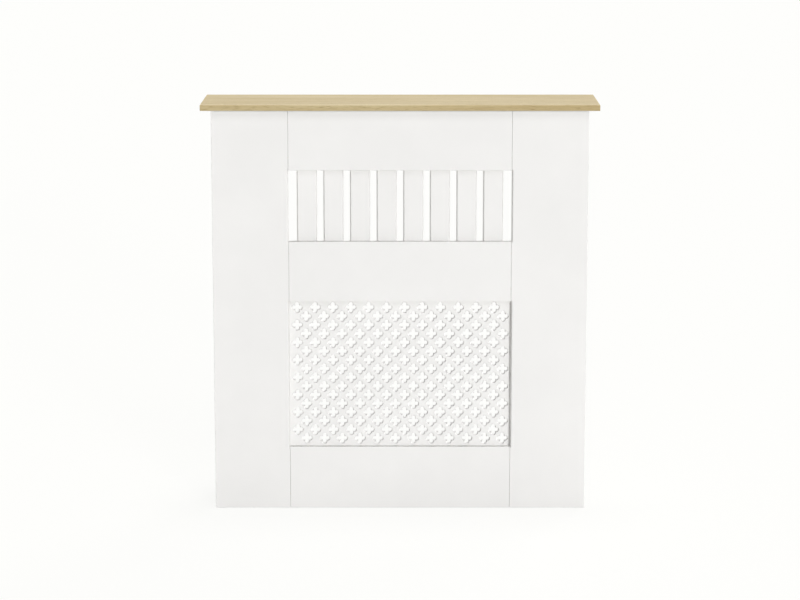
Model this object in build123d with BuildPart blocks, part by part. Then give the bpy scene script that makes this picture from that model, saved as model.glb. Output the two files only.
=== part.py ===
from build123d import *
import os

# Radiator cover cabinet: a flat-pack case of painted MDF boards that stands over a radiator, open at
# the back and below, with a slatted vent and a pierced grille in its front and an oak-faced shelf on top.
# X runs along the front, Y from the front to the wall and Z up. The origin is on the floor, below the
# middle of the shelf. All sizes are in millimetres.

# Overall size
overall_width = 780
overall_depth = 190
overall_height = 815

# Boards
board = 12
slat_thickness = 9
grille_thickness = 6
arris = 0.8

# Front frame, from the outside in and from the floor up
overhang = 20
stile_width = 150
bottom_rail_height = 126
grille_opening_height = 296
middle_rail_height = 120
slat_opening_height = 141.5

# Slats
slat_count = 8
slat_width = 40
slat_pitch = 52.5
slat_lap = 25

# Grille: two grids of four-lobed holes, each grid set half a pitch off the other
hole_columns = 12
hole_rows = 8
hole_pitch = 35.6
lobe_reach = 10.2
lobe_half_width = 4
lobe_notch = 4
grille_lap = 15

# Skirting-board notch and rear stretcher
notch_depth = 15
notch_height = 100
notch_radius = 8
stretcher_height = 60

# Cam locks: the bolt stands in one board, and its tail is drawn in by the cam in the other. The cams
# are turned to have a flat towards the bolt, and the bores for the bolts run on into their pockets.
cam_radius = 7.5
cam_depth = 9.5
cam_sides = 12
cam_turn = 180 / cam_sides
cam_setback = 34
bolt_radius = 3
bolt_grip = 8
bolt_sides = 8
stile_cam_heights = (90, 400, 700)
top_cam_places = (-12, 60)

# Dowels in the rail ends
dowel_radius = 3
dowel_length = 30
dowel_sides = 6
dowel_spacing = 70

# Wall brackets
bracket_leg = 30
bracket_height = 20
bracket_thickness = 1.5
bracket_middle = 700
bracket_bend = 2
wall_hole_radius = 2.5
wall_hole_inset = 17
screw_places = (71, 82)
screw_radius = 1.75
screw_depth = 10
screw_head_radius = 3.5
screw_head_height = 2
screw_sides = 8

# Levels and planes worked out from the sizes above
body_width = overall_width - 2 * overhang
body_height = overall_height - board
opening_width = body_width - 2 * stile_width
front = overhang - overall_depth / 2
frame_back = front + board
wall = overall_depth / 2
side_inside = body_width / 2 - board
side_middle = body_width / 2 - board / 2
frame_middle = front + board / 2
stretcher_front = wall - board
stretcher_middle = body_height - stretcher_height / 2
grille_bottom = bottom_rail_height
grille_top = grille_bottom + grille_opening_height
slats_bottom = grille_top + middle_rail_height
slats_top = slats_bottom + slat_opening_height
rail_levels = {
    "bottom_rail": (0, grille_bottom),
    "middle_rail": (grille_top, slats_bottom),
    "top_rail": (slats_top, body_height),
}
dowel_heights = [
    (low + high) / 2 + offset
    for low, high in rail_levels.values()
    for offset in (-dowel_spacing / 2, dowel_spacing / 2)
]
side_cam_points = [(frame_back + cam_setback, height) for height in stile_cam_heights]
side_cam_points += [(place, body_height - cam_setback) for place in top_cam_places]
stretcher_cam = side_inside - cam_setback
bolt_reach = cam_setback - cam_radius
bore_reach = cam_setback - cam_radius / 2
sides = (("left", -1), ("right", 1))

os.makedirs("parts", exist_ok=True)

# Top panel: one oak-faced board with broken edges. Its underside takes the bolts of the side panels.
with BuildPart() as top_panel:
    with BuildSketch(Plane.XY.offset(body_height)):
        Rectangle(overall_width, overall_depth)
    extrude(amount=board)
    chamfer(top_panel.faces().filter_by(Axis.Z).edges(), length=arris)
    with BuildSketch(Plane.XY.offset(body_height)):
        with Locations([(sign * side_middle, place) for _, sign in sides for place in top_cam_places]):
            RegularPolygon(bolt_radius, bolt_sides)
    extrude(amount=bolt_grip, mode=Mode.SUBTRACT)
top_panel.part.label = "top_panel"
export_step(top_panel.part, "parts/top_panel.step")

# Side panels: notched at the foot of the rear edge to pass a skirting board. The inside face has the
# round pockets of the cams, and the front and top edges have the holes that their bolts enter by.
for side, sign in sides:
    with BuildPart() as side_panel:
        with BuildSketch(Plane.YZ.offset(sign * side_inside)):
            with Locations(((frame_back + wall) / 2, body_height / 2)):
                Rectangle(wall - frame_back, body_height)
            with Locations((wall, 0)):
                Rectangle(2 * notch_depth, 2 * notch_height, mode=Mode.SUBTRACT)
        extrude(amount=sign * board)
        notch_corner = side_panel.edges().filter_by(Axis.X).sort_by_distance(
            (sign * side_middle, wall - notch_depth, notch_height)
        )[0]
        fillet(notch_corner, radius=notch_radius)
        with BuildSketch(Plane.YZ.offset(sign * side_inside)):
            with Locations(side_cam_points):
                RegularPolygon(cam_radius, cam_sides, rotation=cam_turn)
        extrude(amount=sign * cam_depth, mode=Mode.SUBTRACT)
        with BuildSketch(Plane.XZ.offset(-frame_back)):
            with Locations([(sign * side_middle, height) for height in stile_cam_heights]):
                RegularPolygon(bolt_radius, bolt_sides)
        extrude(amount=-bore_reach, mode=Mode.SUBTRACT)
        with BuildSketch(Plane.XY.offset(body_height)):
            with Locations([(sign * side_middle, place) for place in top_cam_places]):
                RegularPolygon(bolt_radius, bolt_sides)
        extrude(amount=-bore_reach, mode=Mode.SUBTRACT)
        with BuildSketch(Plane.YZ.offset(sign * side_inside)):
            with Locations((wall - board / 2, stretcher_middle)):
                RegularPolygon(bolt_radius, bolt_sides)
        extrude(amount=sign * bolt_grip, mode=Mode.SUBTRACT)
        with BuildSketch(Plane.YZ.offset(sign * side_inside)):
            with Locations([(place, bracket_middle) for place in screw_places]):
                RegularPolygon(screw_radius, screw_sides)
        extrude(amount=sign * (screw_depth - bracket_thickness), mode=Mode.SUBTRACT)
    side_panel.part.label = f"{side}_side_panel"
    export_step(side_panel.part, f"parts/{side}_side_panel.step")

# Stiles: wide uprights that close the front from floor to top panel. They are bolted to the edges of
# the side panels and take the dowels of the rails in their inner edges.
for side, sign in sides:
    with BuildPart() as stile:
        with BuildSketch(Plane.XZ.offset(-frame_back)):
            with Locations((sign * (body_width - stile_width) / 2, body_height / 2)):
                Rectangle(stile_width, body_height)
        extrude(amount=board)
        chamfer(stile.faces().sort_by(Axis.Y)[0].edges(), length=arris)
        with BuildSketch(Plane.XZ.offset(-frame_back)):
            with Locations([(sign * side_middle, height) for height in stile_cam_heights]):
                RegularPolygon(bolt_radius, bolt_sides)
        extrude(amount=bolt_grip, mode=Mode.SUBTRACT)
        with BuildSketch(Plane.YZ.offset(sign * opening_width / 2)):
            with Locations([(frame_middle, height) for height in dowel_heights]):
                RegularPolygon(dowel_radius, dowel_sides)
        extrude(amount=sign * dowel_length / 2, mode=Mode.SUBTRACT)
    stile.part.label = f"{side}_stile"
    export_step(stile.part, f"parts/{side}_stile.step")

# Rails: three crosspieces between the stiles, flush with them, with a hairline joint at each end.
for name, (low, high) in rail_levels.items():
    with BuildPart() as rail:
        with BuildSketch(Plane.XZ.offset(-frame_back)):
            with Locations((0, (low + high) / 2)):
                Rectangle(opening_width, high - low)
        extrude(amount=board)
        chamfer(rail.faces().sort_by(Axis.Y)[0].edges(), length=arris)
        for _, sign in sides:
            with BuildSketch(Plane.YZ.offset(sign * opening_width / 2)):
                with Locations([(frame_middle, h) for h in dowel_heights if low < h < high]):
                    RegularPolygon(dowel_radius, dowel_sides)
            extrude(amount=-sign * dowel_length / 2, mode=Mode.SUBTRACT)
    rail.part.label = name
    export_step(rail.part, f"parts/{name}.step")

# Slats: eight thin uprights glued and stapled to the backs of the top and middle rails, so that warm
# air passes between them. Their front edges are broken.
for number in range(slat_count):
    slat_place = (number - (slat_count - 1) / 2) * slat_pitch
    with BuildPart() as slat:
        with BuildSketch(Plane.XZ.offset(-frame_back - slat_thickness)):
            with Locations((slat_place, (slats_bottom + slats_top) / 2)):
                Rectangle(slat_width, slat_opening_height + 2 * slat_lap)
        extrude(amount=slat_thickness)
        front_edges = slat.faces().sort_by(Axis.Y)[0].edges().filter_by(Axis.Z)
        chamfer(front_edges, length=arris)
    slat.part.label = f"slat_{number + 1}"
    export_step(slat.part, f"parts/slat_{number + 1}.step")

# Grille panel: a thin board pierced right through by 192 four-lobed holes, stapled to the back of the
# frame. The arm below is the right-hand lobe, from its notch, and it is turned in four quarters.
arm = [(lobe_notch, -lobe_notch), (lobe_reach, -lobe_half_width), (lobe_reach, lobe_half_width)]
hole_outline = [
    Vector(x, y).rotate(Axis.Z, 90 * quarter) for quarter in range(4) for x, y in arm
]
with BuildPart() as grille_panel:
    with BuildSketch(Plane.XZ.offset(-frame_back - grille_thickness)):
        with Locations((0, (grille_bottom + grille_top) / 2)):
            Rectangle(opening_width + 2 * grille_lap, grille_opening_height + 2 * grille_lap)
        for shift in (-hole_pitch / 4, hole_pitch / 4):
            with Locations((shift, (grille_bottom + grille_top) / 2 - shift)):
                with GridLocations(hole_pitch, hole_pitch, hole_columns, hole_rows):
                    Polygon(*hole_outline, align=None, mode=Mode.SUBTRACT)
    extrude(amount=grille_thickness)
grille_panel.part.label = "grille_panel"
export_step(grille_panel.part, "parts/grille_panel.step")

# Rear stretcher: a strip between the side panels, under the rear edge of the top panel. The cams that
# hold its ends are let into its front face.
with BuildPart() as rear_stretcher:
    with BuildSketch(Plane.XZ.offset(-wall)):
        with Locations((0, stretcher_middle)):
            Rectangle(2 * side_inside, stretcher_height)
    extrude(amount=board)
    with BuildSketch(Plane.XZ.offset(-stretcher_front)):
        with Locations([(sign * stretcher_cam, stretcher_middle) for _, sign in sides]):
            RegularPolygon(cam_radius, cam_sides, rotation=cam_turn)
    extrude(amount=-cam_depth, mode=Mode.SUBTRACT)
    for _, sign in sides:
        with BuildSketch(Plane.YZ.offset(sign * side_inside)):
            with Locations((wall - board / 2, stretcher_middle)):
                RegularPolygon(bolt_radius, bolt_sides)
        extrude(amount=-sign * bore_reach, mode=Mode.SUBTRACT)
rear_stretcher.part.label = "rear_stretcher"
export_step(rear_stretcher.part, "parts/rear_stretcher.step")

# Cam locks: zinc discs in the pockets of the side panels and of the stretcher.
with BuildPart() as cam_locks:
    for _, sign in sides:
        with BuildSketch(Plane.YZ.offset(sign * side_inside)):
            with Locations(side_cam_points):
                RegularPolygon(cam_radius, cam_sides, rotation=cam_turn)
        extrude(amount=sign * cam_depth)
    with BuildSketch(Plane.XZ.offset(-stretcher_front)):
        with Locations([(sign * stretcher_cam, stretcher_middle) for _, sign in sides]):
            RegularPolygon(cam_radius, cam_sides, rotation=cam_turn)
    extrude(amount=-cam_depth)
cam_locks.part.label = "cam_locks"
export_step(cam_locks.part, "parts/cam_locks.step")

# Cam bolts: each stands in the board that is drawn up, and reaches the rim of its cam.
with BuildPart() as cam_bolts:
    with BuildSketch(Plane.XZ.offset(-frame_back + bolt_grip)):
        with Locations([(s * side_middle, height) for _, s in sides for height in stile_cam_heights]):
            RegularPolygon(bolt_radius, bolt_sides)
    extrude(amount=-bolt_grip - bolt_reach)
    with BuildSketch(Plane.XY.offset(body_height + bolt_grip)):
        with Locations([(s * side_middle, place) for _, s in sides for place in top_cam_places]):
            RegularPolygon(bolt_radius, bolt_sides)
    extrude(amount=-bolt_grip - bolt_reach)
    for _, sign in sides:
        with BuildSketch(Plane.YZ.offset(sign * (side_inside + bolt_grip))):
            with Locations((wall - board / 2, stretcher_middle)):
                RegularPolygon(bolt_radius, bolt_sides)
        extrude(amount=-sign * (bolt_grip + bolt_reach))
cam_bolts.part.label = "cam_bolts"
export_step(cam_bolts.part, "parts/cam_bolts.step")

# Wood dowels: two in each end of each rail, half in the rail and half in the stile.
with BuildPart() as wood_dowels:
    for _, sign in sides:
        with BuildSketch(Plane.YZ.offset(sign * (opening_width - dowel_length) / 2)):
            with Locations([(frame_middle, height) for height in dowel_heights]):
                RegularPolygon(dowel_radius, dowel_sides)
        extrude(amount=sign * dowel_length)
wood_dowels.part.label = "wood_dowels"
export_step(wood_dowels.part, "parts/wood_dowels.step")

# Wall brackets: steel strips bent to an angle, one leg on the inside of the side panel and the other
# flush with the wall, with one round hole for a wall screw. Both faces of the bend share one centre.
for side, sign in sides:
    with BuildPart() as wall_bracket:
        with BuildSketch(Plane.XY.offset(bracket_middle - bracket_height / 2)):
            with Locations((sign * (side_inside - bracket_leg / 2), wall - bracket_thickness / 2)):
                Rectangle(bracket_leg, bracket_thickness)
            with Locations((sign * (side_inside - bracket_thickness / 2), wall - bracket_leg / 2)):
                Rectangle(bracket_thickness, bracket_leg)
        extrude(amount=bracket_height)
        for depth, radius in ((bracket_thickness, bracket_bend), (0, bracket_bend + bracket_thickness)):
            bend_edge = wall_bracket.edges().filter_by(Axis.Z).sort_by_distance(
                (sign * (side_inside - depth), wall - depth, bracket_middle)
            )[0]
            fillet(bend_edge, radius=radius)
        with BuildSketch(Plane.YZ.offset(sign * side_inside)):
            with Locations([(place, bracket_middle) for place in screw_places]):
                RegularPolygon(screw_radius, screw_sides)
        extrude(amount=-sign * bracket_thickness, mode=Mode.SUBTRACT)
        with BuildSketch(Plane.XZ.offset(-wall)):
            with Locations((sign * (side_inside - wall_hole_inset), bracket_middle)):
                Circle(wall_hole_radius)
        extrude(amount=bracket_thickness, mode=Mode.SUBTRACT)
    wall_bracket.part.label = f"{side}_wall_bracket"
    export_step(wall_bracket.part, f"parts/{side}_wall_bracket.step")

# Bracket screws: pan heads inside the case, shanks through the brackets into the side panels.
with BuildPart() as bracket_screws:
    for _, sign in sides:
        head_seat = sign * (side_inside - bracket_thickness)
        with BuildSketch(Plane.YZ.offset(head_seat)):
            with Locations([(place, bracket_middle) for place in screw_places]):
                RegularPolygon(screw_head_radius, screw_sides)
        extrude(amount=-sign * screw_head_height)
        with BuildSketch(Plane.YZ.offset(head_seat)):
            with Locations([(place, bracket_middle) for place in screw_places]):
                RegularPolygon(screw_radius, screw_sides)
        extrude(amount=sign * screw_depth)
bracket_screws.part.label = "bracket_screws"
export_step(bracket_screws.part, "parts/bracket_screws.step")
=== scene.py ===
import math

import bmesh
import bpy
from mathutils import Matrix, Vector


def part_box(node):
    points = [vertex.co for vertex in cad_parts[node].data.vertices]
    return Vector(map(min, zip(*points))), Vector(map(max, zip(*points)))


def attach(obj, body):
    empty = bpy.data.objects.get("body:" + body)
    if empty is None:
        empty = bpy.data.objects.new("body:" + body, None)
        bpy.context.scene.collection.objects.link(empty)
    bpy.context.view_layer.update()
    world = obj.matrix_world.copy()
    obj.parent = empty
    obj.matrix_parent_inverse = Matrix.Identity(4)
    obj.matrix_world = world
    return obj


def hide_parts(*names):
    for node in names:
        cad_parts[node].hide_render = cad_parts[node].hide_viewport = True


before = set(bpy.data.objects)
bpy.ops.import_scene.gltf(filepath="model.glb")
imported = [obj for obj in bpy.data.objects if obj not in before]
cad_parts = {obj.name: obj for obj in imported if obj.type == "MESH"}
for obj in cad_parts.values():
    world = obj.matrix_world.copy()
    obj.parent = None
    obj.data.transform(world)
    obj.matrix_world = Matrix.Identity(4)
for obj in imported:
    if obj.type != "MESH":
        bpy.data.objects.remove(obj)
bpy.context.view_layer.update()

MM = 0.001


# Camera. The photograph looks squarely at the front from a little above the shelf. The camera stands
# well back on the middle line and is tilted down, so that the uprights stay close to upright.
shelf_low, shelf_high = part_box("top_panel")
camera_distance = 5.0
camera_height = 1.369
camera_tilt = math.radians(10.65)
camera_lens = 116.0
camera_reach = 200

bpy.ops.object.select_all(action="DESELECT")
bpy.ops.object.camera_add(
    location=(0, shelf_low.y - camera_distance, camera_height),
    rotation=(math.radians(90) - camera_tilt, 0, 0),
)
camera = bpy.context.object
camera.data.lens = camera_lens
camera.data.clip_end = camera_reach
bpy.context.scene.camera = camera
bpy.context.scene.view_settings.view_transform = "Standard"


# Studio light. A low key and a broad high light stand in front, to the right, so that edges that face
# left are in shade. One overhead reaches the shelf, and one behind, to the right, lights the inside,
# off the line on which the shelf would mirror it. The surround is dimmer on the left.
lamp_height = 3
ambient_left = 0.08
ambient_right = 0.44
STUDIO_LIGHTS = (
    # name and energy, then softness, rise and side in degrees, the side from the front to the right
    ("key_light", 1.31, 8, 8, 22),
    ("high_light", 0.47, 26, 38, 20),
    ("overhead_light", 1.64, 24, 85.5, 180),
    ("back_light", 1.5, 26, 12, 152),
)

for name, energy, softness, rise, side in STUDIO_LIGHTS:
    turn = (math.radians(90 - rise), 0, math.radians(side))
    bpy.ops.object.light_add(type="SUN", location=(0, 0, lamp_height), rotation=turn)
    lamp = bpy.context.object
    lamp.name = name
    lamp.data.energy = energy
    lamp.data.angle = math.radians(softness)


# Backdrop. White paper all round. To the eye it glows evenly white, and the floor keeps a share of
# the object's shadow. The light that it returns to the object is plainer and dimmer.
paper_white = "FEFEFC"
paper_bounce = "D3D3D0"
paper_shade = "5F5F5E"
paper_glow = 0.88
paper_reach = 80


def linear(code):
    """The linear colour, with alpha, of an sRGB hex code such as "F3F3F1"."""
    shares = [int(code[i : i + 2], 16) / 255 for i in (0, 2, 4)]
    return [s / 12.92 if s <= 0.04045 else ((s + 0.055) / 1.055) ** 2.4 for s in shares] + [1]


def add_node(tree, kind, inputs=(), **settings):
    """Adds a node. Each input is a socket's name or number, with a value or the output that feeds it."""
    node = tree.nodes.new(kind)
    for setting, value in settings.items():
        setattr(node, setting, value)
    for socket, value in dict(inputs).items():
        if isinstance(value, bpy.types.NodeSocket):
            tree.links.new(value, node.inputs[socket])
        else:
            node.inputs[socket].default_value = value
    return node


def to_the_eye(tree, seen, unseen):
    """Mixes two shaders: the first is what the eye, gloss and glass see, the second lights the object."""
    path = add_node(tree, "ShaderNodeLightPath")
    direct = add_node(tree, "ShaderNodeMath", {0: path.outputs["Is Camera Ray"],
                      1: path.outputs["Is Glossy Ray"]}, operation="MAXIMUM")
    either = add_node(tree, "ShaderNodeMath", {0: direct.outputs[0],
                      1: path.outputs["Is Transmission Ray"]}, operation="MAXIMUM")
    return add_node(tree, "ShaderNodeMixShader", {0: either.outputs[0], 1: unseen.outputs[0],
                    2: seen.outputs[0]}).outputs[0]


world = bpy.data.worlds.new("paper_surround")
bpy.context.scene.world = world
world.use_nodes = True
tree = world.node_tree
tree.nodes.clear()
heading = add_node(tree, "ShaderNodeTexCoord").outputs["Generated"]
sideways = add_node(tree, "ShaderNodeSeparateXYZ", {0: heading}).outputs["X"]
ambient = add_node(tree, "ShaderNodeMapRange", {"Value": sideways, "From Min": -1, "From Max": 1,
                   "To Min": ambient_left, "To Max": ambient_right})
seen = add_node(tree, "ShaderNodeBackground", {"Color": linear(paper_white), "Strength": 1})
unseen = add_node(tree, "ShaderNodeBackground", {"Color": (1, 1, 1, 1), "Strength": ambient.outputs[0]})
add_node(tree, "ShaderNodeOutputWorld", {"Surface": to_the_eye(tree, seen, unseen)})

paper = bpy.data.materials.new("matt_white_paper")
paper.use_nodes = True
tree = paper.node_tree
tree.nodes.clear()
glow = add_node(tree, "ShaderNodeEmission", {"Color": linear(paper_white), "Strength": paper_glow})
shade = add_node(tree, "ShaderNodeBsdfDiffuse", {"Color": linear(paper_shade)})
seen = add_node(tree, "ShaderNodeAddShader", {0: glow.outputs[0], 1: shade.outputs[0]})
unseen = add_node(tree, "ShaderNodeBsdfDiffuse", {"Color": linear(paper_bounce)})
add_node(tree, "ShaderNodeOutputMaterial", {"Surface": to_the_eye(tree, seen, unseen)})

bpy.ops.mesh.primitive_plane_add(size=paper_reach)
floor = bpy.context.object
floor.name = "paper_floor"
floor.data.materials.append(paper)


# Top panel. A 12 mm MDF board wrapped in a printed oak foil, with the grain along its length. Its
# edges carry a darker strip of the same print, and a grey foil backs it. The bolts of the side panels
# stand in its underside.
board_thickness = 12 * MM
oak_arris = 0.9 * MM
arris_steps = 4
bolt_hole_radius = 3.2 * MM
bolt_grip = 8 * MM
top_bolt_places = (-12 * MM, 60 * MM)
smooth_angle = math.radians(35)
corner_angle = math.radians(60)
hair = 0.01 * MM
drill_clearance = 2 * MM
drill_sides = 32

# What the print and the lacquers are like: cell sizes, how far a cell is drawn out along the grain, and
# the spans of noise that a tone or a gloss runs over. Pores are drawn coarser than in oak, so that they
# show.
band_width, band_stretch = 22 * MM, 24
streak_width, streak_stretch = 2.4 * MM, 90
pore_width, pore_stretch = 0.8 * MM, 26
pore_depth = 0.04 * MM
pore_share = 0.75
drift_size = 140 * MM
backing_size, backing_depth = 2 * MM, 0.02 * MM
grain_span = (0.38, 0.62)
pore_span = (0.58, 0.68)
drift_span = (0.35, 0.65)
gloss_span = (0.3, 0.7)
relief_strength = 0.5
pore_relief = 0.6
grain_detail, grain_warp = 0.6, 0.4
oak_roughness = 0.5
oak_roughness_drift = (-0.05, 0.07)
oak_gloss = 0.1
backing_roughness = 0.6
lacquer_roughness_drift = 0.04
lacquer_gloss = 0.22

# Sockets of a Mix node that mixes colours, and shares of a unit vector that points a given way.
COLOUR_A, COLOUR_B, COLOUR_OUT = 6, 7, 2
SLIGHTLY, MOSTLY, SQUARELY = 0.3, 0.5, 0.9


def choose(*pieces):
    """Selects these pieces only, and makes the last one active."""
    bpy.ops.object.select_all(action="DESELECT")
    for piece in pieces:
        piece.select_set(True)
    bpy.context.view_layer.objects.active = pieces[-1]


def new_material(name):
    """A new material, its shader and its node tree, and its coordinates in metres of the object."""
    material = bpy.data.materials.new(name)
    material.use_nodes = True
    tree = material.node_tree
    place = add_node(tree, "ShaderNodeTexCoord").outputs["Object"]
    return material, tree, tree.nodes["Principled BSDF"], place


def noise_along_x(tree, place, width, length_ratio, detail):
    """Noise drawn out along X, as wood grain is: one cell is as wide as said, and longer by the ratio."""
    scale = (1 / (width * length_ratio), 1 / width, 1 / width)
    mapped = add_node(tree, "ShaderNodeMapping", {"Vector": place, "Scale": scale})
    return add_node(tree, "ShaderNodeTexNoise", {"Vector": mapped.outputs[0], "Scale": 1,
                    "Detail": detail, "Roughness": grain_detail, "Distortion": grain_warp}).outputs[0]


def oak_foil(name, pale, warm, pore):
    """Oak-print foil under a satin seal: broad bands and fine streaks of two tones, with darker pores."""
    material, tree, shader, place = new_material(name)
    bands = noise_along_x(tree, place, band_width, band_stretch, 2)
    streaks = noise_along_x(tree, place, streak_width, streak_stretch, 4)
    pores = noise_along_x(tree, place, pore_width, pore_stretch, 1)
    grain = add_node(tree, "ShaderNodeMix", {0: 0.5, 2: bands, 3: streaks}, data_type="FLOAT")
    share = add_node(tree, "ShaderNodeMapRange", {"Value": grain.outputs[0], "From Min": grain_span[0],
                     "From Max": grain_span[1]})
    tone = add_node(tree, "ShaderNodeMix", {0: share.outputs[0], COLOUR_A: linear(pale),
                    COLOUR_B: linear(warm)}, data_type="RGBA")
    dash = add_node(tree, "ShaderNodeMapRange", {"Value": pores, "From Min": pore_span[0],
                    "From Max": pore_span[1], "To Min": 0, "To Max": pore_share})
    colour = add_node(tree, "ShaderNodeMix", {0: dash.outputs[0], COLOUR_A: tone.outputs[COLOUR_OUT],
                      COLOUR_B: linear(pore)}, data_type="RGBA")
    dull = add_node(tree, "ShaderNodeMapRange", {"Value": streaks, "From Min": gloss_span[0],
                    "From Max": gloss_span[1], "To Min": oak_roughness + oak_roughness_drift[0],
                    "To Max": oak_roughness + oak_roughness_drift[1]})
    relief = add_node(tree, "ShaderNodeBump", {"Height": dash.outputs[0], "Distance": pore_depth,
                      "Strength": pore_relief}, invert=True)
    tree.links.new(colour.outputs[COLOUR_OUT], shader.inputs["Base Color"])
    tree.links.new(dull.outputs[0], shader.inputs["Roughness"])
    tree.links.new(relief.outputs[0], shader.inputs["Normal"])
    shader.inputs["Specular IOR Level"].default_value = oak_gloss
    return material


def lacquer(name, pale, shaded, roughness, texture_size, texture_depth):
    """Lacquer on MDF: two close tones that drift into each other, and a fine texture of its surface."""
    material, tree, shader, place = new_material(name)
    drift = add_node(tree, "ShaderNodeTexNoise", {"Vector": place, "Scale": 1 / drift_size, "Detail": 3})
    share = add_node(tree, "ShaderNodeMapRange", {"Value": drift.outputs[0], "From Min": drift_span[0],
                     "From Max": drift_span[1]})
    colour = add_node(tree, "ShaderNodeMix", {0: share.outputs[0], COLOUR_A: linear(pale),
                      COLOUR_B: linear(shaded)}, data_type="RGBA")
    dull = add_node(tree, "ShaderNodeMapRange", {"Value": drift.outputs[0], "From Min": gloss_span[0],
                    "From Max": gloss_span[1], "To Min": roughness - lacquer_roughness_drift,
                    "To Max": roughness + lacquer_roughness_drift})
    grit = add_node(tree, "ShaderNodeTexNoise", {"Vector": place, "Scale": 1 / texture_size, "Detail": 2})
    relief = add_node(tree, "ShaderNodeBump", {"Height": grit.outputs[0], "Distance": texture_depth,
                      "Strength": relief_strength})
    tree.links.new(colour.outputs[COLOUR_OUT], shader.inputs["Base Color"])
    tree.links.new(dull.outputs[0], shader.inputs["Roughness"])
    tree.links.new(relief.outputs[0], shader.inputs["Normal"])
    shader.inputs["Specular IOR Level"].default_value = lacquer_gloss
    return material


def board(name, low, high):
    """Adds a board between two corners, with its place in its mesh."""
    bpy.ops.object.select_all(action="DESELECT")
    bpy.ops.mesh.primitive_cube_add(size=1, location=(low + high) / 2, scale=high - low)
    piece = bpy.context.object
    piece.name = name
    bpy.ops.object.transform_apply(location=True, rotation=True, scale=True)
    return piece


def bevel_edges(piece, radius, steps, chosen=lambda middle, along: True):
    """Rounds square corners, or chamfers them in one step, where a test of middle and direction says so."""
    choose(piece)
    bpy.ops.object.mode_set(mode="EDIT")
    bpy.ops.mesh.select_mode(type="EDGE")
    bpy.ops.mesh.select_all(action="DESELECT")
    mesh = bmesh.from_edit_mesh(piece.data)
    for edge in mesh.edges:
        start, end = (vertex.co for vertex in edge.verts)
        edge.select_set(edge.calc_face_angle(0) > corner_angle
                        and chosen((start + end) / 2, (end - start).normalized()))
    bmesh.update_edit_mesh(piece.data)
    bpy.ops.mesh.bevel(offset=radius, segments=steps, affect="EDGES", clamp_overlap=True)
    bpy.ops.object.mode_set(mode="OBJECT")


def steepen(piece, face, width, depth):
    """Moves the inner lines of the chamfers of a face, so that they are deeper or shallower than wide."""
    for vertex in piece.data.vertices:
        if abs(vertex.co.y - face - width) < hair:
            vertex.co.y = face + depth


def cut_away(piece, cutter):
    """Cuts the cutter's shape out of a piece, and removes the cutter."""
    choose(piece)
    bpy.ops.object.modifier_add(type="BOOLEAN")
    modifier = piece.modifiers[-1]
    modifier.operation = "DIFFERENCE"
    modifier.solver = "EXACT"
    modifier.use_self = True
    modifier.object = cutter
    bpy.ops.object.modifier_apply(modifier=modifier.name)
    bpy.data.objects.remove(cutter)


def drill(piece, holes):
    """Drills round holes, each given by its mouth, direction, radius and depth, with one joined cutter."""
    bits = []
    for mouth, direction, radius, depth in holes:
        bpy.ops.object.select_all(action="DESELECT")
        bpy.ops.mesh.primitive_cylinder_add(
            vertices=drill_sides, radius=radius, depth=depth + drill_clearance,
            location=Vector(mouth) + Vector(direction) * (depth - drill_clearance) / 2,
            rotation=Vector(direction).to_track_quat("Z", "Y").to_euler(),
        )
        bits.append(bpy.context.object)
    choose(*bits)
    bpy.ops.object.join()
    cut_away(piece, bpy.context.object)


def paint(piece, finishes, finish_of=lambda centre, normal: 0):
    """Shades rounded edges smoothly and broad faces flat, and gives each face its finish."""
    choose(piece)
    bpy.ops.object.shade_smooth_by_angle(angle=smooth_angle)
    bpy.ops.object.modifier_add(type="WEIGHTED_NORMAL")
    piece.modifiers[-1].keep_sharp = True
    bpy.ops.object.modifier_apply(modifier=piece.modifiers[-1].name)
    piece.data.materials.clear()
    for finish in finishes:
        piece.data.materials.append(finish)
    for face in piece.data.polygons:
        face.material_index = finish_of(face.center, face.normal)


def stand_for(piece, slot, *nodes):
    """Puts a finished piece in the place of its nodes, on the one body. Its slot is not used."""
    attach(piece, "root")
    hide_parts(*nodes)


# The sealed print has a low, even sheen, with soft streaks of two tones. Its front and end corners get
# a paler print as a painted highlight, and the backing foil is plain and dull.
oak_face = oak_foil("oak_print_foil", "D1C19D", "BFAD83", "A28F65")
oak_edge = oak_foil("oak_print_edge_strip", "CBBA91", "BDA779", "9D875D")
# The pale corner print is a painted highlight along the front and end arrises of the shelf.
oak_corner_painted_highlight = oak_foil("oak_print_painted_highlight", "F4E6C8", "E9D8B4", "CBB88E")
shelf_underside = lacquer("grey_backing_foil", "C0BEBB", "BAB8B5", backing_roughness, backing_size,
                          backing_depth)


def shelf_finish(centre, normal):
    """Oak print above and on the edges, a pale painted highlight along the front and end corners, plain
    grey below.
    """
    if normal.z < -MOSTLY:
        return 3
    if SLIGHTLY < normal.z < SQUARELY and normal.y < SLIGHTLY:
        return 2
    return 0 if normal.z > MOSTLY else 1


side_low, side_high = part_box("right_side_panel")
side_middle = (side_low.x + side_high.x) / 2
shelf = board("oak_top_board", shelf_low, shelf_high)
bevel_edges(shelf, oak_arris, arris_steps)
drill(shelf, [((sign * side_middle, place, shelf_low.z), (0, 0, 1), bolt_hole_radius, bolt_grip)
              for sign in (-1, 1) for place in top_bolt_places])
paint(shelf, (oak_face, oak_edge, oak_corner_painted_highlight, shelf_underside), shelf_finish)
stand_for(shelf, "oak_foil_board", "top_panel")


# Painted boards. MDF cut to size, sanded and sprayed with white satin lacquer. Its broad faces are
# smooth, with a faint orange peel. The cut edges drink the lacquer and dry rougher, and their lacquer
# is made greyer as painted shade, which darkens the ledges and walls of the openings. The fibre is
# drawn coarser than in real MDF, so that it shows.
peel_size = 2.2 * MM
peel_depth = 0.02 * MM
fibre_size = 1.1 * MM
fibre_depth = 0.06 * MM
edge_turn = 0.2
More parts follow.
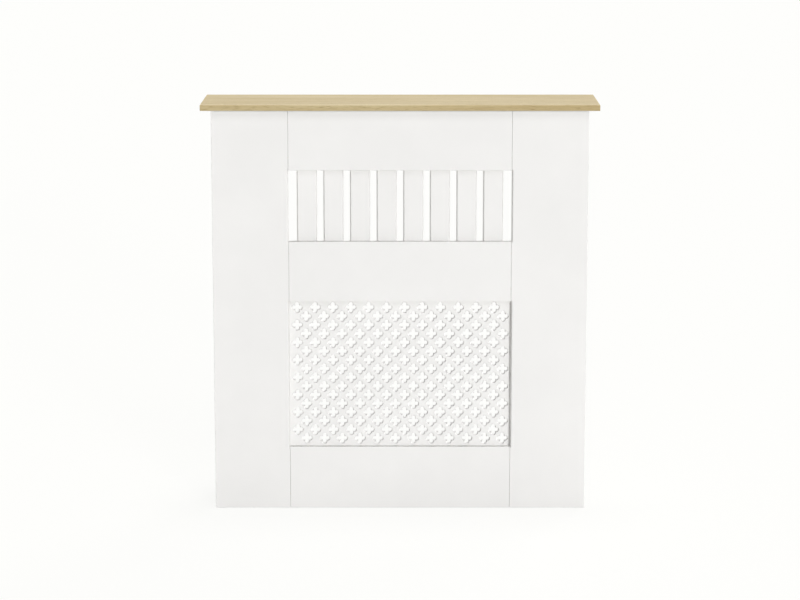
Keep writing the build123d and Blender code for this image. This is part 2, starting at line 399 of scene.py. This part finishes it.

# Lacquer has a soft sheen on the faces and a dull one on cut edges, where its greyer tone is painted
# shade. Primer is chalky, and bare fibre is brown and rough.
satin_face = lacquer("white_satin_lacquer", "F7F6F5", "F4F3F2", 0.45, peel_size, peel_depth)
# The cut-edge lacquer is greyer than the face lacquer as painted shade on the ledges and walls of the
# openings.
edge_lacquer_with_painted_shade = lacquer("white_lacquer_on_cut_edge_with_painted_shade", "DCDBD8", "D4D3D0", 0.6, fibre_size, fibre_depth)
primed_back = lacquer("white_primer_coat", "F2F1EE", "ECEBE7", 0.65, fibre_size, fibre_depth)
bare_mdf = lacquer("bare_mdf_fibre", "B4926A", "9F7E58", 0.8, fibre_size, fibre_depth)
FRONT_PAINTS = (satin_face, edge_lacquer_with_painted_shade, primed_back)


def front_paint(centre, normal):
    """Face paint in front and on arrises and chamfers, primer behind, and edge paint greyed as painted
    shade on the cut edges.
    """
    if normal.y < -edge_turn:
        return 0
    return 2 if normal.y > SQUARELY else 1


# Stiles. Two wide MDF uprights close the front from floor to shelf, bolted from within to the side
# panels and dowelled to the rails. Their front arrises are rounded, and their edges along the openings
# are routed to a steep chamfer.
front_arris = 0.8 * MM
chamfer_width = 2.4 * MM
chamfer_depth = 5.8 * MM
stile_bolt_heights = (90 * MM, 400 * MM, 700 * MM)
dowel_hole_radius = 3.2 * MM
dowel_reach = 15 * MM
dowel_spacing = 70 * MM
RAILS = ("bottom_rail", "middle_rail", "top_rail")

opening_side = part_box("middle_rail")[1].x
frame_middle = (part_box("middle_rail")[0].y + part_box("middle_rail")[1].y) / 2
frame_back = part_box("middle_rail")[1].y
dowel_heights = {rail: [(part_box(rail)[0].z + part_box(rail)[1].z + offset) / 2
                        for offset in (-dowel_spacing, dowel_spacing)] for rail in RAILS}

openings = [(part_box(below)[1].z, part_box(above)[0].z) for below, above in zip(RAILS, RAILS[1:])]
opening_ends = [end for opening in openings for end in opening]

for side, sign in (("left", -1), ("right", 1)):
    low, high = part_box(f"{side}_stile")
    stile = board(f"{side}_stile_board", low, high)
    bpy.ops.object.mode_set(mode="EDIT")
    for height in opening_ends:
        bpy.ops.mesh.select_all(action="SELECT")
        bpy.ops.mesh.bisect(plane_co=(0, 0, height), plane_no=(0, 0, 1))
    bpy.ops.object.mode_set(mode="OBJECT")
    bevel_edges(stile, chamfer_width, 1, lambda middle, along: (
        abs(along.z) > MOSTLY and middle.y < low.y + MM and abs(abs(middle.x) - opening_side) < MM
        and any(bottom < middle.z < top for bottom, top in openings)))
    steepen(stile, low.y, chamfer_width, chamfer_depth)
    bevel_edges(stile, front_arris, arris_steps, lambda middle, along: middle.y < low.y + MM)
    drill(stile, [((sign * side_middle, frame_back, height), (0, -1, 0), bolt_hole_radius, bolt_grip)
                  for height in stile_bolt_heights]
          + [((sign * opening_side, frame_middle, height), (sign, 0, 0), dowel_hole_radius, dowel_reach)
             for rail in RAILS for height in dowel_heights[rail]])
    paint(stile, FRONT_PAINTS, front_paint)
    stand_for(stile, "painted_mdf", f"{side}_stile")


# Rails. Three MDF crosspieces, flush with the stiles and dowelled between them. Their rounded ends
# leave a hairline at each joint, which is a touch open.
joint_gap = 0.3 * MM

for rail in RAILS:
    low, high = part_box(rail)
    low.x, high.x = low.x + joint_gap, high.x - joint_gap
    piece = board(rail + "_board", low, high)
    bevel_edges(piece, front_arris, arris_steps, lambda middle, along: middle.y < low.y + MM)
    drill(piece, [((sign * high.x, frame_middle, height), (-sign, 0, 0), dowel_hole_radius, dowel_reach)
                  for sign in (-1, 1) for height in dowel_heights[rail]])
    paint(piece, FRONT_PAINTS, front_paint)
    stand_for(piece, "painted_mdf", rail)


# Slats. Eight strips of 9 mm MDF, stapled behind the rails. Their long front edges are routed to a
# steep chamfer, so that one side of each catches the light and the other is in shade.
SLATS = [f"slat_{number}" for number in range(1, 9)]
back_arris = 0.5 * MM
small_steps = 3

for node in SLATS:
    low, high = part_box(node)
    slat = board(node + "_strip", low, high)
    bevel_edges(slat, chamfer_width, 1,
                lambda middle, along: middle.y < low.y + MM and abs(along.z) > MOSTLY)
    steepen(slat, low.y, chamfer_width, chamfer_depth)
    bevel_edges(slat, back_arris, small_steps, lambda middle, along: middle.y > high.y - MM)
    paint(slat, FRONT_PAINTS, front_paint)
    stand_for(slat, "painted_mdf", node)


# Grille. A 6 mm MDF panel routed with two staggered grids of four-lobed holes, then sprayed. The
# cutter flares every hole, deep in front and shallow behind, so that its walls show as a pale and a
# dark crescent.
hole_pitch = 35.6 * MM
hole_columns, hole_rows = 12, 8
lobe_centre = 6.0 * MM
lobe_radius = 4.0 * MM
lobe_turn = math.radians(118)
lobe_points = 9
flare_width = 1.5 * MM
flare_depth = 4.7 * MM
back_flare_depth = 1.1 * MM

panel_low, panel_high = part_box("grille_panel")
panel_middle = (panel_low + panel_high) / 2

outline = []
for quarter in range(4):
    heading = quarter * math.pi / 2
    for point in range(lobe_points):
        turn = heading + lobe_turn * (2 * point / (lobe_points - 1) - 1)
        outline.append((lobe_centre * math.cos(heading) + lobe_radius * math.cos(turn),
                        lobe_centre * math.sin(heading) + lobe_radius * math.sin(turn)))


def trace(curve, points):
    """Adds a closed outline of straight runs to a flat curve."""
    spline = curve.splines.new("POLY")
    spline.points.add(len(points) - 1)
    for point, (x, y) in zip(spline.points, points):
        point.co = (x, y, 0, 1)
    spline.use_cyclic_u = True


flat = bpy.data.curves.new("grille_outline", "CURVE")
flat.dimensions = "2D"
flat.fill_mode = "BOTH"
trace(flat, [(panel_low.x, panel_low.z), (panel_high.x, panel_low.z),
             (panel_high.x, panel_high.z), (panel_low.x, panel_high.z)])
for shift in (-hole_pitch / 4, hole_pitch / 4):
    for column in range(hole_columns):
        for row in range(hole_rows):
            x = panel_middle.x + shift + (column - (hole_columns - 1) / 2) * hole_pitch
            z = panel_middle.z - shift + (row - (hole_rows - 1) / 2) * hole_pitch
            trace(flat, [(x + across, z + up) for across, up in outline])
flat.extrude = (panel_high.y - panel_low.y) / 2 - flare_width
flat.bevel_depth = flare_width
flat.bevel_resolution = 0
flat.offset = -flare_width
grille = bpy.data.objects.new("routed_grille", flat)
bpy.context.scene.collection.objects.link(grille)
choose(grille)
bpy.ops.object.convert(target="MESH")
grille = bpy.context.object
grille.location.y = panel_middle.y
grille.rotation_euler.x = math.radians(90)
bpy.ops.object.transform_apply(location=True, rotation=True, scale=True)
bpy.ops.object.mode_set(mode="EDIT")
bpy.ops.mesh.select_all(action="SELECT")
bpy.ops.mesh.remove_doubles(threshold=hair)
bpy.ops.mesh.normals_make_consistent(inside=False)
bpy.ops.object.mode_set(mode="OBJECT")
steepen(grille, panel_low.y, flare_width, flare_depth)
steepen(grille, panel_high.y, -flare_width, -back_flare_depth)
paint(grille, FRONT_PAINTS, front_paint)
stand_for(grille, "painted_mdf", "grille_panel")


# Side panels. Two boards that stand on the floor and against the wall, notched at the foot to pass a
# skirting board. Their inner faces are bored for the cams, and their edges for the bolts.
side_arris = 0.6 * MM
notch_depth = 15 * MM
notch_height = 100 * MM
notch_radius = 8 * MM
notch_steps = 8
cam_radius = 7.5 * MM
cam_depth = 9.5 * MM
cam_setback = 34 * MM
screw_places = (71 * MM, 82 * MM)
screw_height = 700 * MM
screw_hole_radius = 1.75 * MM
screw_hole_depth = 8.5 * MM

stretcher_low, stretcher_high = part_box("rear_stretcher")
stretcher_middle = (stretcher_low + stretcher_high) / 2
side_inside = side_low.x
wall = side_high.y
body_top = side_high.z
side_cam_spots = [(frame_back + cam_setback, height) for height in stile_bolt_heights]
side_cam_spots += [(place, body_top - cam_setback) for place in top_bolt_places]


def side_paint(centre, normal):
    """Face paint outside, primer inside, edge paint greyed as painted shade on rims and notch, and bare
    fibre in the bores.
    """
    inset = MM < abs(centre.x) - side_inside < board_thickness - MM
    on_rim = max(abs(normal.y), abs(normal.z)) > SQUARELY and (
        min(centre.y - side_low.y, wall - centre.y, centre.z, body_top - centre.z) < MM)
    in_notch = centre.z < notch_height + MM and centre.y > wall - notch_depth - notch_radius
    if inset and not on_rim and not in_notch:
        return 3
    outward = math.copysign(normal.x, normal.x * centre.x)
    if outward > SLIGHTLY:
        return 0
    return 2 if outward < -SLIGHTLY else 1


for side, sign in (("left", -1), ("right", 1)):
    low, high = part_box(f"{side}_side_panel")
    panel = board(f"{side}_side_board", low, high)
    notch = board("notch", Vector((low.x - notch_depth, wall - notch_depth, -notch_depth)),
                  Vector((high.x + notch_depth, wall + notch_depth, notch_height)))
    bevel_edges(notch, notch_radius, notch_steps, lambda middle, along: middle.y < wall
                and middle.z > notch_height - MM and abs(along.x) > MOSTLY)
    cut_away(panel, notch)
    bevel_edges(panel, side_arris, small_steps)
    drill(panel,
          [((sign * side_inside, y, z), (sign, 0, 0), cam_radius, cam_depth) for y, z in side_cam_spots]
          + [((sign * side_middle, frame_back, height), (0, 1, 0), bolt_hole_radius, cam_setback)
             for height in stile_bolt_heights]
          + [((sign * side_middle, place, body_top), (0, 0, -1), bolt_hole_radius, cam_setback)
             for place in top_bolt_places]
          + [((sign * side_inside, stretcher_middle.y, stretcher_middle.z), (sign, 0, 0),
              bolt_hole_radius, bolt_grip)]
          + [((sign * side_inside, place, screw_height), (sign, 0, 0), screw_hole_radius,
              screw_hole_depth) for place in screw_places])
    paint(panel, (satin_face, edge_lacquer_with_painted_shade, primed_back, bare_mdf), side_paint)
    stand_for(panel, "painted_mdf", f"{side}_side_panel")


# Rear stretcher. A strip of MDF between the side panels under the rear of the shelf. The two cams that
# grip the bolts in its ends are let into its front face, out of sight from behind.
stretcher = board("rear_stretcher_board", stretcher_low, stretcher_high)
bevel_edges(stretcher, side_arris, small_steps)
stretcher_cam = side_inside - cam_setback
drill(stretcher,
      [((sign * stretcher_cam, stretcher_low.y, stretcher_middle.z), (0, 1, 0), cam_radius, cam_depth)
       for sign in (-1, 1)]
      + [((sign * side_inside, stretcher_middle.y, stretcher_middle.z), (-sign, 0, 0), bolt_hole_radius,
          cam_setback) for sign in (-1, 1)])
paint(stretcher, (primed_back, edge_lacquer_with_painted_shade),
      lambda centre, normal: 0 if abs(normal.y) > MOSTLY else 1)
stand_for(stretcher, "painted_mdf", "rear_stretcher")


# Cam locks. Twelve discs of die-cast zinc in the bores of the side panels and the stretcher, each with
# a dished face and a crossed slot for the screwdriver that turns it.
cam_play = 0.25 * MM
cam_sides = 40
cam_arris = 0.25 * MM
cam_sink = 0.2 * MM
cam_rim = 1.3 * MM
cam_dish = 0.5 * MM
cross_length = 9 * MM
cross_width = 1.4 * MM
cross_depth = 2.6 * MM
cloud_stretch = 6
metal_roughness_drift = (-0.06, 0.08)


def metal(name, pale, shaded, roughness, grain_size, grain_depth):
    """Bare or plated metal: its tone and gloss vary in small clouds, over a fine grain."""
    material, tree, shader, place = new_material(name)
    cloud = add_node(tree, "ShaderNodeTexNoise", {"Vector": place, "Detail": 3,
                     "Scale": 1 / (cloud_stretch * grain_size)})
    colour = add_node(tree, "ShaderNodeMix", {0: cloud.outputs[0], COLOUR_A: linear(pale),
                      COLOUR_B: linear(shaded)}, data_type="RGBA")
    dull = add_node(tree, "ShaderNodeMapRange", {"Value": cloud.outputs[0], "From Min": gloss_span[0],
                    "From Max": gloss_span[1], "To Min": roughness + metal_roughness_drift[0],
                    "To Max": roughness + metal_roughness_drift[1]})
    grit = add_node(tree, "ShaderNodeTexNoise", {"Vector": place, "Scale": 1 / grain_size, "Detail": 2})
    relief = add_node(tree, "ShaderNodeBump", {"Height": grit.outputs[0], "Distance": grain_depth,
                      "Strength": relief_strength})
    tree.links.new(colour.outputs[COLOUR_OUT], shader.inputs["Base Color"])
    tree.links.new(dull.outputs[0], shader.inputs["Roughness"])
    tree.links.new(relief.outputs[0], shader.inputs["Normal"])
    shader.inputs["Metallic"].default_value = 1
    return material


def crossed_slot(piece, length, width, depth):
    """Cuts a crossed screwdriver slot into the top of a fastener that faces up at the origin."""
    bars = [board("slot_bar", Vector((-x / 2, -y / 2, -depth)), Vector((x / 2, y / 2, 1.5 * depth)))
            for x, y in ((length, width), (width, length))]
    choose(*bars)
    bpy.ops.object.join()
    cut_away(piece, bpy.context.object)


def set_out(model, name, spots):
    """Copies a model, each copy with its own mesh, to the spots and facings given, and joins the copies."""
    copies = []
    for spot, facing in spots:
        choose(model)
        bpy.ops.object.duplicate()
        copy = bpy.context.object
        copy.location = spot
        copy.rotation_euler = Vector(facing).to_track_quat("Z", "Y").to_euler()
        bpy.ops.object.transform_apply(location=True, rotation=True, scale=True)
        copies.append(copy)
    choose(*copies)
    bpy.ops.object.join()
    joined = bpy.context.object
    joined.name = name
    bpy.data.objects.remove(model)
    return joined


# Die-cast zinc is a dull grey, a little mottled and grainy.
zinc = metal("die_cast_zinc", "C4C4C6", "A9A9AC", 0.42, 0.6 * MM, 0.03 * MM)

bpy.ops.object.select_all(action="DESELECT")
bpy.ops.mesh.primitive_cylinder_add(vertices=cam_sides, radius=cam_radius - cam_play,
                                    depth=cam_depth - cam_play,
                                    location=(0, 0, -(cam_depth - cam_play) / 2))
cam = bpy.context.object
bpy.ops.object.transform_apply(location=True, rotation=True, scale=True)
bpy.ops.object.mode_set(mode="EDIT")
bpy.ops.mesh.select_mode(type="FACE")
bpy.ops.mesh.select_all(action="DESELECT")
mesh = bmesh.from_edit_mesh(cam.data)
for face in mesh.faces:
    face.select_set(face.normal.z > SQUARELY)
bmesh.update_edit_mesh(cam.data)
bpy.ops.mesh.inset(thickness=cam_rim)
bpy.ops.transform.translate(value=(0, 0, -cam_dish))
bpy.ops.object.mode_set(mode="OBJECT")
bevel_edges(cam, cam_arris, small_steps)
crossed_slot(cam, cross_length, cross_width, cross_depth)
paint(cam, (zinc,))
cams = set_out(cam, "cam_lock_set",
               [((sign * (side_inside + cam_sink), y, z), (-sign, 0, 0))
                for sign in (-1, 1) for y, z in side_cam_spots]
               + [((sign * stretcher_cam, stretcher_low.y + cam_sink, stretcher_middle.z), (0, -1, 0))
                  for sign in (-1, 1)])
stand_for(cams, "zinc_casting", "cam_locks")


# Cam bolts and dowels. Both lie wholly inside the boards, so their plain solids stay. The bolts are
# zinc-plated steel and the dowels are beech, with its grain along them.
beech_streak, beech_stretch = 3 * MM, 12
beech_relief = 0.1 * MM
beech_roughness = 0.7


def beech_wood(name, pale, warm):
    """Planed beech: short fine streaks of two tones along the grain, with a dry surface."""
    material, tree, shader, place = new_material(name)
    streaks = noise_along_x(tree, place, beech_streak, beech_stretch, 4)
    colour = add_node(tree, "ShaderNodeMix", {0: streaks, COLOUR_A: linear(pale), COLOUR_B: linear(warm)},
                      data_type="RGBA")
    relief = add_node(tree, "ShaderNodeBump", {"Height": streaks, "Distance": beech_relief,
                      "Strength": relief_strength})
    tree.links.new(colour.outputs[COLOUR_OUT], shader.inputs["Base Color"])
    tree.links.new(relief.outputs[0], shader.inputs["Normal"])
    shader.inputs["Roughness"].default_value = beech_roughness
    return material


# Zinc plate is bright and slightly blue, with faint clouds. Planed beech is pale, dry and pinkish.
zinc_plate = metal("zinc_plated_steel", "D2D4D8", "BBBEC4", 0.3, 0.5 * MM, 0.01 * MM)
beech = beech_wood("planed_beech", "DDBB92", "C49B6C")

for node, finish in (("cam_bolts", zinc_plate), ("wood_dowels", beech)):
    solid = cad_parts[node]
    solid.data.materials.clear()
    solid.data.materials.append(finish)


# Wall brackets. Zinc-plated steel strip, 1.5 mm thick, bent to an angle with rounded ends. One leg is
# screwed to the side panel, and the other takes a wall screw.
bracket_steel = 1.5 * MM
bracket_bend = 2 * MM
bend_steps = 6
corner_steps = 5
flat_angle = math.radians(1)
bracket_corner = 4 * MM
wall_hole_radius = 2.5 * MM
wall_hole_inset = 17 * MM
burr = 0.15 * MM

for side, sign in (("left", -1), ("right", 1)):
    low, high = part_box(f"{side}_wall_bracket")
    leg_end = low.x if sign > 0 else high.x
    leg_face = wall - bracket_steel
    inner = side_inside - bracket_steel
    angle = board(f"{side}_wall_angle", Vector((low.x, leg_face, low.z)), Vector((high.x, wall, high.z)))
    bpy.ops.object.mode_set(mode="EDIT")
    bpy.ops.mesh.select_all(action="SELECT")
    bpy.ops.mesh.bisect(plane_co=(sign * inner, 0, 0), plane_no=(1, 0, 0))
    bpy.ops.mesh.select_mode(type="FACE")
    bpy.ops.mesh.select_all(action="DESELECT")
    mesh = bmesh.from_edit_mesh(angle.data)
    for face in mesh.faces:
        face.select_set(face.normal.y < -SQUARELY and abs(face.calc_center_median().x) > inner)
    bmesh.update_edit_mesh(angle.data)
    bpy.ops.mesh.extrude_region_move(TRANSFORM_OT_translate={"value": (0, low.y - leg_face, 0)})
    bpy.ops.mesh.select_all(action="SELECT")
    bpy.ops.mesh.dissolve_limited(angle_limit=flat_angle)
    bpy.ops.object.mode_set(mode="OBJECT")
    bevel_edges(angle, bracket_bend, bend_steps, lambda middle, along: abs(along.z) > MOSTLY
                and abs(abs(middle.x) - inner) < burr and abs(middle.y - leg_face) < burr)
    bevel_edges(angle, bracket_bend + bracket_steel, bend_steps, lambda middle, along: (
        abs(along.z) > MOSTLY and abs(abs(middle.x) - side_inside) < burr and abs(middle.y - wall) < burr))
    bevel_edges(angle, bracket_corner, corner_steps, lambda middle, along: (
        (abs(along.y) > MOSTLY and abs(middle.x - leg_end) < burr)
        or (abs(along.x) > MOSTLY and abs(middle.y - low.y) < burr)))
    drill(angle,
          [((sign * (side_inside - wall_hole_inset), wall, screw_height), (0, -1, 0), wall_hole_radius,
            bracket_steel + drill_clearance)]
          + [((sign * side_inside, place, screw_height), (-sign, 0, 0), screw_hole_radius,
              bracket_steel + drill_clearance) for place in screw_places])
    bevel_edges(angle, burr, 1)
    paint(angle, (zinc_plate,))
    stand_for(angle, "plated_steel", f"{side}_wall_bracket")


# Bracket screws. Four zinc-plated pan-head chipboard screws, driven into the side panels through the
# brackets, with a crossed recess in each domed head.
head_radius = 3.5 * MM
head_height = 2 * MM
head_dome = 1.4 * MM
head_sides = 32
dome_steps = 5
recess_length = 3.6 * MM
recess_width = 0.8 * MM
recess_depth = 1.2 * MM
shank_radius = 1.7 * MM
shank_length = 9.8 * MM
shank_tip = 1.2 * MM
shank_sides = 20

bpy.ops.object.select_all(action="DESELECT")
bpy.ops.mesh.primitive_cylinder_add(vertices=head_sides, radius=head_radius, depth=head_height,
                                    location=(0, 0, -head_height / 2))
head = bpy.context.object
bpy.ops.object.transform_apply(location=True, rotation=True, scale=True)
bevel_edges(head, head_dome, dome_steps, lambda middle, along: middle.z > -burr)
crossed_slot(head, recess_length, recess_width, recess_depth)
bpy.ops.object.select_all(action="DESELECT")
bpy.ops.mesh.primitive_cylinder_add(vertices=shank_sides, radius=shank_radius, depth=shank_length,
                                    location=(0, 0, -head_height - shank_length / 2))
shank = bpy.context.object
bevel_edges(shank, shank_tip, small_steps, lambda middle, along: middle.z < -shank_length / 2 + burr)
choose(shank, head)
bpy.ops.object.join()
screw = bpy.context.object
paint(screw, (zinc_plate,))
screws = set_out(screw, "bracket_screw_set",
                 [((sign * (side_inside - bracket_steel - head_height), place, screw_height), (-sign, 0, 0))
                  for sign in (-1, 1) for place in screw_places])
stand_for(screws, "plated_steel", "bracket_screws")


# Staples. Wire staples, shot from behind, hold the ends of the slats and the rim of the grille to the
# backs of the frame. Their crowns lie a little proud of the boards.
staple_crown = 11 * MM
staple_wire = 1.2 * MM
staple_thickness = 0.7 * MM
staple_proud = 0.35 * MM
staple_shoulder = 0.55 * MM
staple_arris = 0.2 * MM
slat_lap = 25 * MM
slat_staple_offset = 10 * MM
rim_inset = 7 * MM
rim_staples_across, rim_staples_up = 7, 4

bpy.ops.object.select_all(action="DESELECT")
bpy.ops.mesh.primitive_cube_add(size=1, location=(0, 0, staple_proud - staple_thickness / 2),
                                scale=(staple_crown, staple_wire, staple_thickness))
staple = bpy.context.object
bpy.ops.object.transform_apply(location=True, rotation=True, scale=True)
bevel_edges(staple, staple_shoulder, small_steps,
            lambda middle, along: middle.z > 0 and abs(along.y) > MOSTLY)
bevel_edges(staple, staple_arris, 1, lambda middle, along: middle.z > 0 and abs(along.x) > MOSTLY)
paint(staple, (zinc_plate,))

spots = []
for node in SLATS:
    low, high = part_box(node)
    for height in (low.z + slat_lap / 2, high.z - slat_lap / 2):
        for offset in (-slat_staple_offset, slat_staple_offset):
            spots.append((((low.x + high.x) / 2 + offset, high.y, height), (0, 1, 0)))
rim_low = Vector((panel_low.x + rim_inset, 0, panel_low.z + rim_inset))
rim_high = Vector((panel_high.x - rim_inset, 0, panel_high.z - rim_inset))
for step in range(rim_staples_across):
    x = rim_low.x + (rim_high.x - rim_low.x) * (step + 0.5) / rim_staples_across
    spots += [((x, panel_high.y, z), (0, 1, 0)) for z in (rim_low.z, rim_high.z)]
for step in range(rim_staples_up):
    z = rim_low.z + (rim_high.z - rim_low.z) * (step + 0.5) / rim_staples_up
    spots += [((x, panel_high.y, z), (0, 1, 0)) for x in (rim_low.x, rim_high.x)]
staples = set_out(staple, "panel_staples", spots)
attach(staples, "root")
